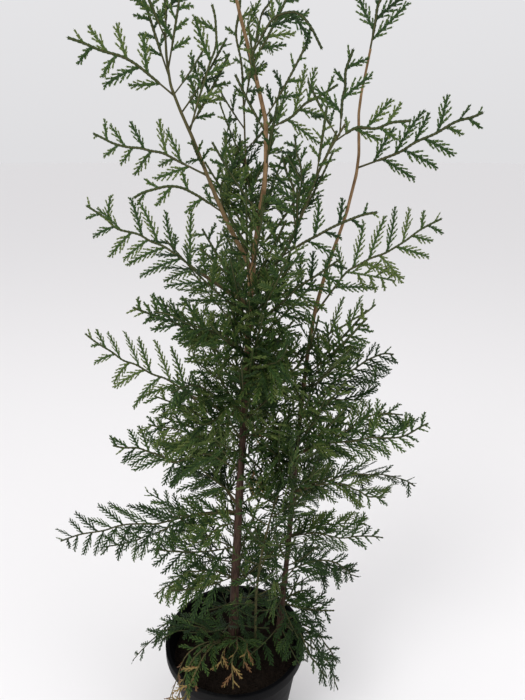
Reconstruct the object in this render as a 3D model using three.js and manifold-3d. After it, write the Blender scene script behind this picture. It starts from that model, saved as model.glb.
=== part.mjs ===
// A young thuja (western red cedar) with two main stems, standing in a round plastic nursery pot.
//
// Millimetres, +Z up. The pot's flat underside lies on z = 0 and its axis is x = y = 0.
// Compass directions are in degrees seen from above: 0 is +X, 90 is +Y (the back),
// 180 is -X and 270 is the front.
//
// The stems are tapering limbs that start flat on the compost. Every row of FOLIAGE grows from a
// stem: a spine that arches out from it, clothed by one flat, uneven pad of foliage. The long ones
// are bare near the stem, and that stretch is a bough of its own.
import * as THREE from "three";
import { mergeVertices } from "three/addons/utils/BufferGeometryUtils.js";
import Module from "manifold-3d";

const wasm = await Module();
wasm.setup();

// ---- driving dimensions ----

// A two-litre nursery pot.
const POT_RIM_DIAMETER = 170;
const POT_HEIGHT = 135;
const POT_BASE_DIAMETER = 122;
const POT_WALL = 2;
const RIM_BAND = 13; // height of the turned-over lip
const RIM_LIP = 3; // how far the lip stands out from the wall
const FOOT_RING = 1.5; // chamfer round the underside
const DRAIN_HOLES = 6;
const DRAIN_HOLE_DIAMETER = 11;
const DRAIN_RING_RADIUS = 44;
const COMPOST_BELOW_RIM = 21;

const GAP = 0.4; // clearance between pieces that touch on the real plant
const POT_FACETS = 40;
const STEM_SIDES = 8;
const BOUGH_SIDES = 6;
const BOUGH_RINGS = 4;
const BOUGH_THICKNESS = 2.2; // of the shortest bough
const BOUGH_THICKENING = 1 / 60; // added for each millimetre of the spray that it carries
const BOUGH_TAPER = 0.72;
const TAPER_POWER = 0.85; // under 1, a limb loses more of its thickness near its start
const ROOT_FLARE = 0.45; // how much wider a stem is where it meets the compost, as a share
const FLARE_LENGTH = 0.06; // the share of the stem's length that flares
const PAD_INSET = 3; // from a stem's middle to a pad that has no bough
const PAD_AROUND = 8;
const PAD_ALONG = 6;
const PAD_TAPER = 0.45; // how much narrower a pad gets from its stem end to its tip, as a share
const PAD_FULLEST = 0.52; // how far along a pad its sizes in FOLIAGE hold, as a share of its length
const LUMPINESS = 0.14; // how uneven a pad's outline is, as a share of its radius
const LUMPS_AROUND = 3;
const LUMPS_TWIST = 9; // how far the lumps turn from one end of a pad to the other, in radians
const LUMPS_SHIFT = 2.4; // how far they turn from one pad to the next, in radians
const SMOOTHING = 0.25; // what may be shaved off a cut solid to lose needless triangles

const COMPOST_TOP = POT_HEIGHT - COMPOST_BELOW_RIM;

// ---- materials ----

const material = (color, roughness) => new THREE.MeshStandardMaterial({ color, roughness, metalness: 0 });
const POT_PLASTIC = material(0x1b1c20, 0.55);
const COMPOST = material(0x2b211b, 1);
const OLD_BARK = material(0x5a3a2e, 0.9);
const YOUNG_BARK = material(0xa67c4e, 0.75);
const LEAF_GREEN = material(0x3c6330, 0.6);
const DRY_LEAF = material(0xb08a4a, 0.8);

// ---- solids and meshes ----

// A closed three.js geometry as a manifold-3d solid. Its seams are joined, and the triangles that
// shrink to a line at a pole are left out.
function solidOf(geometry) {
  const bare = geometry.clone();
  bare.deleteAttribute("normal");
  bare.deleteAttribute("uv");
  const merged = mergeVertices(bare, 1e-3);
  const corners = merged.index.array;
  const triVerts = [];
  for (let i = 0; i < corners.length; i += 3) {
    const [a, b, c] = corners.slice(i, i + 3);
    if (a !== b && b !== c && c !== a) triVerts.push(a, b, c);
  }
  return new wasm.Manifold(
    new wasm.Mesh({
      numProp: 3,
      vertProperties: new Float32Array(merged.attributes.position.array),
      triVerts: new Uint32Array(triVerts),
    }),
  );
}

function geometryOf(solid) {
  const made = solid.getMesh();
  const geometry = new THREE.BufferGeometry();
  geometry.setAttribute("position", new THREE.BufferAttribute(made.vertProperties, made.numProp));
  geometry.setIndex(new THREE.BufferAttribute(made.triVerts, 1));
  return geometry;
}

// The biggest piece of a solid that its cutters may have divided.
function largestPiece(solid) {
  const pieces = solid.decompose();
  return pieces.reduce((a, b) => (b.volume() > a.volume() ? b : a));
}

const plant = new THREE.Group();

function addMesh(name, solid, meshMaterial) {
  const mesh = new THREE.Mesh(geometryOf(solid), meshMaterial);
  mesh.name = name;
  plant.add(mesh);
}

// A solid turned round Z from an outline of [radius, height] pairs that starts on the axis at the
// bottom and comes back to it at the top.
function turned(outline) {
  const points = outline.map(([r, z]) => new THREE.Vector2(r, z));
  return solidOf(new THREE.LatheGeometry(points, POT_FACETS).rotateX(Math.PI / 2));
}

// ---- pot and compost ----

// Outer radius of the pot's tapering wall at a height.
const wallRadius = (z) =>
  THREE.MathUtils.lerp(POT_BASE_DIAMETER / 2, POT_RIM_DIAMETER / 2 - RIM_LIP, z / POT_HEIGHT);

// The pot's solid, with every surface moved out by grow.
function potSolid(grow = 0) {
  const floor = POT_WALL + grow;
  const band = POT_HEIGHT - RIM_BAND;
  return turned([
    [0, -grow],
    [POT_BASE_DIAMETER / 2 - FOOT_RING, -grow],
    [POT_BASE_DIAMETER / 2 + grow, FOOT_RING],
    [wallRadius(band) + grow, band - grow],
    [POT_RIM_DIAMETER / 2 + grow, band - grow],
    [POT_RIM_DIAMETER / 2 + grow, POT_HEIGHT + grow],
    [wallRadius(POT_HEIGHT) - POT_WALL - grow, POT_HEIGHT + grow],
    [wallRadius(floor) - POT_WALL - grow, floor],
    [0, floor],
  ]);
}

function drainHoles() {
  const holes = [];
  for (let i = 0; i < DRAIN_HOLES; i++) {
    const angle = ((i + 0.5) / DRAIN_HOLES) * 2 * Math.PI;
    const radius = DRAIN_HOLE_DIAMETER / 2;
    const hole = new THREE.CylinderGeometry(radius, radius, 4 * POT_WALL, 12).rotateX(Math.PI / 2);
    hole.translate(DRAIN_RING_RADIUS * Math.cos(angle), DRAIN_RING_RADIUS * Math.sin(angle), 0);
    holes.push(solidOf(hole));
  }
  return wasm.Manifold.union(holes);
}

// The pot's filling, up to a height.
function compostSolid(top = COMPOST_TOP) {
  const inside = (z) => wallRadius(z) - POT_WALL - GAP;
  const bottom = POT_WALL + GAP;
  return turned([
    [0, bottom],
    [inside(bottom), bottom],
    [inside(top), top],
    [0, top],
  ]);
}

// ---- stems ----

// Where each stem runs, as points [x, y, z] from its foot or fork to its tip, and its diameters
// there. A leader starts inside the stem that it forks from, and is cut back to that stem's bark.
const STEMS = [
  {
    name: "main_stem",
    from: 12,
    to: 2.4,
    bark: OLD_BARK,
    path: [
      [-3, 4, COMPOST_TOP], [2, 2, 230], [14, 0, 431], [25, 0, 600],
      [39, 2, 705], [30, 3, 755], [12, 4, 818], [6, 5, 862],
    ],
  },
  {
    name: "right_stem",
    from: 7.5,
    to: 2,
    bark: OLD_BARK,
    path: [
      [53, 10, COMPOST_TOP], [62, 8, 230], [76, 6, 454], [88, 4, 561],
      [121, 2, 680], [119, 3, 740], [127, 4, 785],
    ],
  },
  {
    name: "slender_stem",
    from: 4,
    to: 2,
    bark: YOUNG_BARK,
    path: [
      [25, -8, COMPOST_TOP], [27, -12, 215], [38, -18, 300], [50, -24, 352],
    ],
  },
  {
    name: "left_leader",
    from: 5.2,
    to: 1.9,
    bark: YOUNG_BARK,
    path: [
      [24, 0, 592], [0, -6, 640], [-28, -10, 712], [-45, -10, 755], [-47, -8, 796],
    ],
  },
  {
    name: "centre_leader",
    from: 4.4,
    to: 1.8,
    bark: YOUNG_BARK,
    path: [
      [24, 0, 575], [54, -12, 610], [86, -22, 690], [104, -26, 722],
    ],
  },
  {
    name: "back_shoot",
    from: 3.2,
    to: 1.6,
    bark: YOUNG_BARK,
    path: [
      [22, 0, 560], [19, 16, 600], [18, 22, 680], [17, 20, 738],
    ],
  },
];

const vector = ([x, y, z]) => new THREE.Vector3(x, y, z);

// Share of a rising curve's length at which it passes a height.
function shareAtHeight(curve, height) {
  let low = 0;
  let high = 1;
  for (let i = 0; i < 30; i++) {
    const middle = (low + high) / 2;
    if (curve.getPointAt(middle).z < height) low = middle;
    else high = middle;
  }
  return low;
}

// A straight three.js solid of revolution, unit long about Y, bent along a curve. place(t, angle)
// gives the half-widths [across, through] at a share t of the length and an angle round it, and side
// the direction of the first.
function bent(geometry, curve, place, side) {
  const position = geometry.attributes.position;
  const point = new THREE.Vector3();
  for (let i = 0; i < position.count; i++) {
    point.fromBufferAttribute(position, i);
    const t = THREE.MathUtils.clamp(point.y, 0, 1);
    const along = curve.getTangentAt(t);
    const across = side.clone().addScaledVector(along, -side.dot(along)).normalize();
    const through = new THREE.Vector3().crossVectors(along, across);
    const [u, v] = place(t, Math.atan2(point.x, point.z));
    const at = curve.getPointAt(t).addScaledVector(across, u * point.z);
    at.addScaledVector(through, v * point.x);
    position.setXYZ(i, at.x, at.y, at.z);
  }
  return solidOf(geometry);
}

// A tapering round limb along a curve, with flat ends. flare widens it towards its foot, and a level
// foot is cut flat where it stands on the compost.
function limbSolid(curve, from, to, sides, rings, { grow = 0, flare = 0, level = false } = {}) {
  const tube = new THREE.CylinderGeometry(1, 1, 1, sides, rings).translate(0, 0.5, 0);
  const radius = (t) => {
    const taper = THREE.MathUtils.lerp(from, to, t ** TAPER_POWER) / 2;
    return taper * (1 + flare * Math.max(0, 1 - t / FLARE_LENGTH) ** 2) + grow;
  };
  const limb = bent(tube, curve, (t) => [radius(t), radius(t)], new THREE.Vector3(1, 0, 0));
  return level ? limb.trimByPlane([0, 0, 1], COMPOST_TOP + GAP) : limb;
}

// ---- foliage ----

// The pads of foliage on each stem, from the bottom up. A pad's spine leaves the stem "at" a height.
// Its tip is "reach" away towards the compass direction "toward" and "lift" above the start, and it
// bows up by "arch", halfway along unless "bowAt" says where. "wide" is across the spray, upright
// unless it is "flat", and "deep" is through it. "bare" is the share of the spine, next to the stem,
// that is a bough without leaves.
const FOLIAGE = {
  main_stem: {
    rim_left: {
      at: 126, toward: 192, reach: 126, lift: -12, arch: 84, bowAt: 0.62,
      wide: 42, deep: 14, flat: true,
    },
    rim_front_left: {
      at: 126, toward: 234, reach: 118, lift: -34, arch: 112, bowAt: 0.68,
      wide: 46, deep: 14, flat: true, dry: true,
    },
    rim_front: {
      at: 130, toward: 274, reach: 80, lift: 2, arch: 52, bowAt: 0.55,
      wide: 62, deep: 16, flat: true, dry: true,
    },
    back_base: { at: 214, toward: 62, reach: 104, lift: 4, arch: 16, wide: 84, deep: 46 },
    left_base: { at: 232, toward: 194, reach: 97, lift: -22, arch: 18, wide: 58, deep: 30 },
    front_left_low: { at: 300, toward: 206, reach: 78, lift: 26, arch: 6, wide: 74, deep: 42 },
    left_low: { at: 316, toward: 173, reach: 224, lift: -64, arch: 14, wide: 102, deep: 28, bare: 0.24 },
    back_left: { at: 322, toward: 128, reach: 128, lift: 26, arch: 12, wide: 96, deep: 48, bare: 0.2 },
    left_middle: { at: 385, toward: 194, reach: 138, lift: 30, arch: 26, wide: 88, deep: 42 },
    back_middle: { at: 404, toward: 78, reach: 134, lift: 52, arch: 8, wide: 112, deep: 52 },
    left_arch: { at: 432, toward: 168, reach: 179, lift: 83, arch: -12, wide: 88, deep: 30, bare: 0.3 },
    front_left: { at: 446, toward: 222, reach: 92, lift: 44, arch: 4, wide: 98, deep: 46 },
    front_high: { at: 486, toward: 300, reach: 80, lift: 56, arch: 4, wide: 104, deep: 54 },
    left_thin: { at: 508, toward: 191, reach: 114, lift: 50, arch: 22, wide: 46, deep: 22 },
    back_high: { at: 520, toward: 96, reach: 104, lift: 86, wide: 94, deep: 46 },
    left_upper: { at: 556, toward: 168, reach: 170, lift: 93, arch: 8, wide: 92, deep: 26, bare: 0.3 },
    upper_back: { at: 622, toward: 104, reach: 74, lift: 84, arch: 6, wide: 74, deep: 40 },
    right_high: { at: 706, toward: 24, reach: 70, lift: 57, arch: 4, wide: 62, deep: 22 },
    top_back: { at: 770, toward: 55, reach: 46, lift: 66, wide: 46, deep: 26 },
    top_arch: { at: 782, toward: 344, reach: 63, lift: -15, arch: 64, wide: 26, deep: 14 },
    main_stem_tip: { at: 862, toward: 160, reach: 4, lift: 82, wide: 66, deep: 40 },
  },
  right_stem: {
    rim_right: { at: 150, toward: 316, reach: 92, lift: -46, arch: 74, wide: 56, deep: 18, flat: true },
    right_foot: { at: 178, toward: 339, reach: 57, lift: 7, arch: 10, wide: 60, deep: 32 },
    right_base: { at: 240, toward: 10, reach: 93, lift: -43, arch: 16, wide: 50, deep: 24 },
    right_low_under: { at: 280, toward: 338, reach: 110, lift: 28, arch: 18, wide: 50, deep: 24 },
    back_right: { at: 316, toward: 62, reach: 112, lift: 26, arch: 10, wide: 102, deep: 50 },
    right_low: { at: 336, toward: 10, reach: 149, lift: -17, arch: 34, wide: 62, deep: 32, bare: 0.2 },
    front_right: { at: 372, toward: 246, reach: 76, lift: 34, arch: 10, wide: 124, deep: 58 },
    right_middle: { at: 386, toward: 346, reach: 137, lift: 57, arch: 12, wide: 62, deep: 30, bare: 0.24 },
    right_middle_high: { at: 440, toward: 15, reach: 109, lift: 50, arch: 10, wide: 74, deep: 32 },
    right_upper_low: { at: 514, toward: 334, reach: 65, lift: 56, wide: 54, deep: 26 },
    right_upper: { at: 557, toward: 14, reach: 135, lift: 79, arch: 14, wide: 78, deep: 20 },
    right_long: { at: 684, toward: 342, reach: 105, lift: 46, arch: 6, wide: 56, deep: 18 },
    right_stem_tip: { at: 785, toward: 20, reach: 16, lift: 96, wide: 62, deep: 26 },
  },
  slender_stem: {
    slender_stem_tip: { at: 352, toward: 330, reach: 12, lift: 76, wide: 84, deep: 48 },
  },
  left_leader: {
    leader_left_low: { at: 655, toward: 205, reach: 80, lift: 5, arch: 18, wide: 32, deep: 14 },
    leader_left: { at: 690, toward: 164, reach: 110, lift: 28, arch: -8, wide: 48, deep: 14 },
    left_fork: { at: 718, toward: 350, reach: 20, lift: 98, wide: 50, deep: 22 },
    leader_left_top: { at: 750, toward: 197, reach: 84, lift: 34, arch: 12, wide: 42, deep: 16 },
    left_leader_tip: { at: 796, toward: 200, reach: 10, lift: 80, wide: 62, deep: 26 },
  },
  centre_leader: {
    centre_leader_low: { at: 612, toward: 337, reach: 86, lift: 41, arch: 8, wide: 44, deep: 18 },
    centre_leader_inner: { at: 628, toward: 100, reach: 16, lift: 88, wide: 54, deep: 36 },
    centre_leader_side: { at: 712, toward: 334, reach: 63, lift: 7, arch: 10, wide: 44, deep: 16 },
    centre_leader_tip: { at: 722, toward: 20, reach: 8, lift: 58, wide: 52, deep: 24 },
  },
  back_shoot: {
    inner_left: { at: 612, toward: 168, reach: 16, lift: 116, wide: 54, deep: 32 },
    back_shoot_tip: { at: 738, toward: 200, reach: 10, lift: 118, wide: 42, deep: 24 },
  },
};

// The spine of a row, from the middle of its stem to the pad's tip.
function spineOf(row, stem) {
  const start = stem.getPointAt(shareAtHeight(stem, row.at));
  const angle = THREE.MathUtils.degToRad(row.toward);
  const reach = new THREE.Vector3(Math.cos(angle), Math.sin(angle), 0).multiplyScalar(row.reach);
  const tip = start.clone().add(reach).add(new THREE.Vector3(0, 0, row.lift));
  const bow = start.clone().lerp(tip, row.bowAt ?? 0.5).add(new THREE.Vector3(0, 0, row.arch));
  return new THREE.QuadraticBezierCurve3(start, bow, tip);
}

// The stretch of a curve between two shares of its length, as a curve of its own.
function stretch(curve, from, to) {
  const points = [];
  const steps = 8;
  for (let i = 0; i <= steps; i++) points.push(curve.getPointAt(from + ((to - from) * i) / steps));
  return new THREE.CatmullRomCurve3(points, false, "centripetal");
}

// The way a pad's width runs: upright for a spray that reaches out, across for one that climbs, and
// level for one that lies flat.
function widthSide(spine, row) {
  const along = spine.getPointAt(1).sub(spine.getPointAt(0)).normalize();
  if (row.flat) return new THREE.Vector3(-along.y, along.x, 0);
  return Math.abs(along.z) < 0.85 ? new THREE.Vector3(0, 0, 1) : new THREE.Vector3(1, 0, 0);
}

// A flat pad with rounded ends and an uneven outline. seed gives each pad lumps of its own.
function padSolid(spine, row, seed, grow = 0) {
  const ball = new THREE.SphereGeometry(1, PAD_AROUND, PAD_ALONG);
  const position = ball.attributes.position;
  for (let i = 0; i < position.count; i++) position.setY(i, (1 + position.getY(i)) / 2);
  const turned = (t, angle) => LUMPS_AROUND * angle + LUMPS_TWIST * t + LUMPS_SHIFT * seed;
  const lumps = (t, angle) => 1 + LUMPINESS * Math.sin(turned(t, angle));
  const taper = (t) => 1 - PAD_TAPER * (t - PAD_FULLEST);
  const place = (t, angle) => [
    (row.wide / 2) * taper(t) * lumps(t, angle) + grow,
    (row.deep / 2) * taper(t) * lumps(t, angle + 1) + grow,
  ];
  return bent(ball, spine, place, widthSide(spine, row));
}

// ---- the plant ----

const potShape = potSolid().subtract(drainHoles());
addMesh("pot", potShape, POT_PLASTIC);
addMesh("compost", compostSolid(), COMPOST);

// Everything already placed, grown by the clearance, which later pieces are cut back from.
const cutters = [potSolid(GAP)];

function cutBack(solid) {
  const near = cutters.filter((c) => !solid.intersect(c).isEmpty());
  if (!near.length) return solid;
  return largestPiece(solid.subtract(wasm.Manifold.union(near))).simplify(SMOOTHING);
}

const stemCurves = new Map();
for (const { name, from, to, bark, path } of STEMS) {
  const curve = new THREE.CatmullRomCurve3(path.map(vector), false, "centripetal");
  const rings = 2 * path.length;
  const level = path[0][2] === COMPOST_TOP;
  const flare = level ? ROOT_FLARE : 0;
  addMesh(name, cutBack(limbSolid(curve, from, to, STEM_SIDES, rings, { flare, level })), bark);
  cutters.push(limbSolid(curve, from, to, STEM_SIDES, rings, { flare, level, grow: GAP }));
  stemCurves.set(name, curve);
}
cutters.push(compostSolid(COMPOST_TOP + GAP));

const rows = Object.entries(FOLIAGE).flatMap(([stem, sprays]) =>
  Object.entries(sprays).map(([name, sizes]) => ({ name, stem, ...sizes })),
);

// Every bough is placed before the first pad, so that the pads are what gives way.
const pads = rows.map((row, seed) => {
  const spine = spineOf(row, stemCurves.get(row.stem));
  const length = spine.getLength();
  if (!row.bare) return { row, seed, spine: stretch(spine, PAD_INSET / length, 1) };
  const wood = stretch(spine, 0, row.bare - GAP / length);
  const thick = BOUGH_THICKNESS + length * BOUGH_THICKENING;
  const bough = (grow) => limbSolid(wood, thick, thick * BOUGH_TAPER, BOUGH_SIDES, BOUGH_RINGS, { grow });
  addMesh(row.name + "_bough", cutBack(bough(0)), YOUNG_BARK);
  cutters.push(bough(GAP));
  return { row, seed, spine: stretch(spine, row.bare, 1) };
});

for (const { row, seed, spine } of pads) {
  addMesh(row.name, cutBack(padSolid(spine, row, seed)), row.dry ? DRY_LEAF : LEAF_GREEN);
  cutters.push(padSolid(spine, row, seed, GAP));
}

export default plant;
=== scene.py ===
"""Looks of the young thuja in its nursery pot.

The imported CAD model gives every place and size: the stems, the boughs, and the flat pads that stand
for the foliage. Each pad is filled with thuja sprays: an axis that follows the pad's spine, side
shoots that branch again in one plane, and scale leaves along all of them. Metres, +Z up.
"""

import math
import random

import bpy
import numpy as np
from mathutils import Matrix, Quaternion, Vector, noise


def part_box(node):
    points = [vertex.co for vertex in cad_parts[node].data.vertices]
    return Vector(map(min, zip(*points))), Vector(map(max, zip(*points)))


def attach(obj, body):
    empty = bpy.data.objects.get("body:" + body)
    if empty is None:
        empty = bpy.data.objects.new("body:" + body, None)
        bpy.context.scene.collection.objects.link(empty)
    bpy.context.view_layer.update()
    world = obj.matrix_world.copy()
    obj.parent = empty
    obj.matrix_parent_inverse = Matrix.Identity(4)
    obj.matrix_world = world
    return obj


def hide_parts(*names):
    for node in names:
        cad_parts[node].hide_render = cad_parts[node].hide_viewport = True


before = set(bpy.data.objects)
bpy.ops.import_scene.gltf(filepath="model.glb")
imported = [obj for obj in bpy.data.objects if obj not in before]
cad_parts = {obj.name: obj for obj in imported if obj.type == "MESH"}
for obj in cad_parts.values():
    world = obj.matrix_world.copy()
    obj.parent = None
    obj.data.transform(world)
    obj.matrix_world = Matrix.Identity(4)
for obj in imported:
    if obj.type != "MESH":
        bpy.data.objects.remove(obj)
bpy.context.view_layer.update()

MM = 0.001
UP = Vector((0, 0, 1))

# ---- the plant's foliage, by region of the crown and by the stem that carries it ----

REGIONS = {
    "rim": {
        "main_stem": ["rim_left", "rim_front_left", "rim_front"],
        "right_stem": ["rim_right", "right_foot", "right_base"],
    },
    "left_low": {
        "main_stem": ["left_base", "front_left_low", "left_low", "left_middle"],
    },
    "left_high": {
        "main_stem": ["left_arch", "left_thin", "left_upper"],
        "left_leader": ["leader_left_low", "leader_left", "leader_left_top"],
    },
    "front": {
        "main_stem": ["front_left", "front_high"],
        "right_stem": ["front_right"],
        "slender_stem": ["slender_stem_tip"],
    },
    "back": {
        "main_stem": ["back_base", "back_left", "back_middle", "back_high", "upper_back"],
        "right_stem": ["back_right"],
    },
    "right_low": {
        "right_stem": ["right_low_under", "right_low", "right_middle", "right_middle_high"],
    },
    "right_high": {
        "right_stem": ["right_upper_low", "right_upper", "right_long", "right_stem_tip"],
        "centre_leader": [
            "centre_leader_inner", "centre_leader_low", "centre_leader_side", "centre_leader_tip",
        ],
    },
    "top": {
        "main_stem": ["right_high", "top_arch", "top_back", "main_stem_tip"],
        "left_leader": ["left_leader_tip", "left_fork"],
        "back_shoot": ["back_shoot_tip", "inner_left"],
    },
}
STEMS = ["main_stem", "right_stem", "slender_stem", "left_leader", "centre_leader", "back_shoot"]
OLD_STEMS = ["main_stem", "right_stem"]
FORKED = {"left_leader": "main_stem", "centre_leader": "main_stem", "back_shoot": "main_stem"}
BOUGHS = sorted(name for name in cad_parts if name.endswith("_bough"))
# Open pads, through which the background shows: airy ones have two fronds, thin ones a single frond
# with its side shoots far apart, and single ones one frond where a pad so long would have two.
AIRY_PADS = ["inner_left", "upper_back", "centre_leader_inner", "right_high", "right_stem_tip"]
THIN_PADS = [
    "back_shoot_tip", "top_back", "top_arch", "left_fork", "left_leader_tip", "leader_left_low",
    "centre_leader_low", "right_upper_low", "centre_leader_tip", "main_stem_tip",
]
SINGLE_PADS = ["left_middle"]

# ---- growth ----

LEAF_STEP = 3.9 * MM  # from one pair of scale leaves to the next
LEAF_HALF_WIDTH = 1.2 * MM
LEAF_HALF_THICKNESS = 0.58 * MM
AXIS_STEP = 3.8 * MM  # the same on the main axis of a frond, whose scales are longer
FINGER_ANGLE = math.radians(43)  # between a finger and the sprig that it leaves
SPRIG_ANGLE = math.radians(50)  # between a sprig and the axis that it leaves
FINGER_GAP = 2.75 * MM  # along a sprig, whose fingers leave it on alternate sides
LONGEST_FINGER = 12 * MM
SHORTEST_FINGER = 2.4 * MM
SPRAY_LENGTH = 56 * MM  # a side shoot longer than this carries sprigs, and a shorter one fingers
SPRAY_GAP = 7 * MM  # along such a long side shoot
FINGER_LENGTH = 13 * MM  # a side shoot shorter than this is bare
FLAT_NODE_GAP = 8.5 * MM  # between the side shoots of a flat frond
YOUNG_NODE_GAP = 9.5 * MM  # the same near the top of the plant
THIN_NODE_GAP = 12 * MM  # in the thin pads
BUSHY_NODE_GAP = 5.5 * MM  # in pads nearly as deep as they are wide
GOLDEN_ANGLE = math.radians(137.5)  # from one frond to the next, round a stem or across a pad
LONGEST_SIDE_SHOOT = 62 * MM
SHORTEST_SPRIG = 6 * MM
FROND_AREA = (17 * MM) ** 2  # of a bushy pad's half width times half depth, for each of its fronds
MOST_FRONDS = 5  # in a bushy pad
FIRST_PLACE = 0.26  # how far along its pad a frond's axis is first held to its own place
FOOT_DROP = 0.12  # of a pad's width, from its start down to where its fronds leave the stem
BOUGH_SHOOT = 30 * MM  # the longest side shoot on a bough, before its pad begins
BUSHY_SPREAD = 0.78  # how far a bushy pad's fronds spread, for its half width and half depth
LONGEST_REACH = 0.97  # how far along its pad the first frond reaches
LONG_PAD = 120 * MM  # a flat pad longer than this has a second, shorter frond in it
RIM_FRONDS = 3  # in each pad that hangs over the pot's rim
DRY_FROM = 0.62  # how far along a dry frond its side shoots are still green
END_WIDTH = 0.68  # of the leaf that ends a shoot, for the others
DRY_WIDTH = 0.72  # of dry leaves, for green ones
YOUNG_WIDTH = 1.18  # of the shoots near the top, for those lower down
TWIG_SIDES = 5
TWIG_TIP = 0.5 * MM  # radius
TWIG_THICKENING = 0.0042  # of a twig's radius, for its length

POT_WALL = 81 * MM  # the wall's middle near the rim, and how far leaves stay from it on each side
WALL_ROOM = 7 * MM
POT_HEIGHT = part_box("pot")[1].z
COMPOST_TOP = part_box("compost")[1].z


def fronds(stem, start, end, **values):
    """One row of the table below."""
    return dict(stem=stem, start=start, end=end, **values)


# Short fronds all round the stems, between the pads. Start, end and front_from are heights, in
# millimetres; above front_from they also grow towards the front, where a bare length of trunk shows
# below. Gap is the height from one frond to the next and length sets their reach, in millimetres.
# Rise is how steeply they climb, as height for length. Toward keeps them between two directions, in
# degrees from the photo's right. Dry ones are withered all along and come last in their region.
INNER_FRONDS = {
    "rim": [
        fronds("main_stem", 126, 205, gap=5, length=84, rise=(-0.2, 0.25)),
        fronds("right_stem", 128, 200, gap=6, length=78, rise=(-0.3, 0.25)),
        fronds("right_stem", 130, 165, gap=14, length=100, rise=(-0.35, -0.2), toward=(272, 315)),
    ],
    "left_low": [
        fronds("main_stem", 165, 380, gap=13, length=98, rise=(0.2, 0.9), front_from=400),
        fronds("main_stem", 200, 250, gap=20, length=120, rise=(-0.15, 0.15), toward=(165, 210)),
        fronds("main_stem", 385, 430, gap=24, length=140, rise=(0.05, 0.2), toward=(165, 200)),
    ],
    "right_low": [
        fronds("right_stem", 170, 400, gap=13, length=82, rise=(0.3, 1.0)),
        fronds("slender_stem", 180, 345, gap=11, length=64, rise=(0.3, 1.0)),
    ],
    "left_high": [
        fronds("main_stem", 440, 580, gap=8, length=98, rise=(0.3, 1.0)),
        fronds("left_leader", 600, 660, gap=30, length=44, rise=(0.5, 1.2)),
        fronds("left_leader", 700, 750, gap=16, length=52, rise=(0.9, 1.8), toward=(-60, 60)),
        fronds("left_leader", 735, 780, gap=26, length=50, rise=(1.5, 2.2), toward=(120, 230)),
    ],
    "front": [
        fronds("main_stem", 385, 470, gap=7, length=94, rise=(0.3, 1.0)),
        fronds("main_stem", 500, 585, gap=15, length=72, rise=(0.3, 0.9), toward=(270, 330)),
        fronds("main_stem", 354, 360, gap=9, length=54, rise=(0, 0.1), toward=(288, 318), dry=True),
        fronds("main_stem", 408, 414, gap=9, length=58, rise=(0, 0.1), toward=(288, 318), dry=True),
    ],
    "right_high": [
        fronds("centre_leader", 590, 630, gap=20, length=44, rise=(0.5, 1.2)),
        fronds("centre_leader", 630, 700, gap=17, length=46, rise=(0.8, 2.0)),
        fronds("right_stem", 235, 330, gap=11, length=70, rise=(0.4, 1.2), toward=(225, 310)),
        fronds("right_stem", 330, 500, gap=7, length=76, rise=(0.4, 1.1), toward=(210, 340)),
    ],
    "top": [
        fronds("main_stem", 400, 545, gap=9, length=64, rise=(0.7, 1.4), toward=(242, 300)),
        fronds("main_stem", 550, 640, gap=9, length=56, rise=(0.6, 1.4)),
        fronds("main_stem", 670, 760, gap=14, length=52, rise=(0.9, 1.6)),
        fronds("back_shoot", 570, 725, gap=18, length=46, rise=(0.7, 1.5)),
    ],
}


def set_input(owner, target, value):
    """Gives an input of a material or a world its value, or links it to a socket."""
    if isinstance(value, bpy.types.NodeSocket):
        owner.node_tree.links.new(value, target)
    else:
        target.default_value = value


def add_node(owner, kind, output, inputs=(), **attributes):
    """A shader node with its attributes, and its inputs by name or number. Gives back one output."""
    node = owner.node_tree.nodes.new("ShaderNode" + kind)
    for key, value in attributes.items():
        setattr(node, key, value)
    for key, value in dict(inputs).items():
        set_input(owner, node.inputs[key], value)
    return node.outputs[output]


def start_material(name, roughness, specular):
    """A new material and its shader."""
    material = bpy.data.materials.new(name)
    material.use_nodes = True
    shader = material.node_tree.nodes["Principled BSDF"]
    shader.inputs["Roughness"].default_value = roughness
    shader.inputs["Specular IOR Level"].default_value = specular
    return material, shader


def plain_material(name, colour, roughness=0.5):
    """One plain colour, which the export keeps as it is."""
    material, shader = start_material(name, roughness, 0.15)
    shader.inputs["Base Color"].default_value = (*colour, 1)
    return material


LEAF_TINTS = {
    "leaf_shade": (0.010, 0.024, 0.006),
    "leaf_deep": (0.017, 0.040, 0.009),
    "leaf_green": (0.029, 0.060, 0.013),
    "leaf_fresh": (0.050, 0.084, 0.018),
    "leaf_light": (0.092, 0.124, 0.031),
    "leaf_yellow": (0.210, 0.145, 0.050),
    "leaf_brown": (0.135, 0.068, 0.028),
}
LEAF_MATERIALS = [plain_material(name, colour) for name, colour in LEAF_TINTS.items()]
SHADE, DEEP, GREEN, FRESH, LIGHT, YELLOW, BROWN = range(len(LEAF_TINTS))
DRY_TINTS = [YELLOW, BROWN]


# ---- reading the frame ----


def mesh_arrays(name):
    """The points and the edges of a CAD node."""
    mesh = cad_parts[name].data
    points = np.empty(len(mesh.vertices) * 3)
    mesh.vertices.foreach_get("co", points)
    edges = np.empty(len(mesh.edges) * 2, int)
    mesh.edges.foreach_get("vertices", edges)
    return points.reshape(-1, 3), edges.reshape(-1, 2)


def section(points, edges, origin, axis):
    """The points where a mesh's edges cross a plane."""
    height = (points - origin) @ axis
    a, b = height[edges[:, 0]], height[edges[:, 1]]
    crossing = (a < 0) != (b < 0)
    share = (a / np.where(a == b, 1, a - b))[crossing, None]
    start, end = points[edges[crossing, 0]], points[edges[crossing, 1]]
    return start + (end - start) * share


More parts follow.
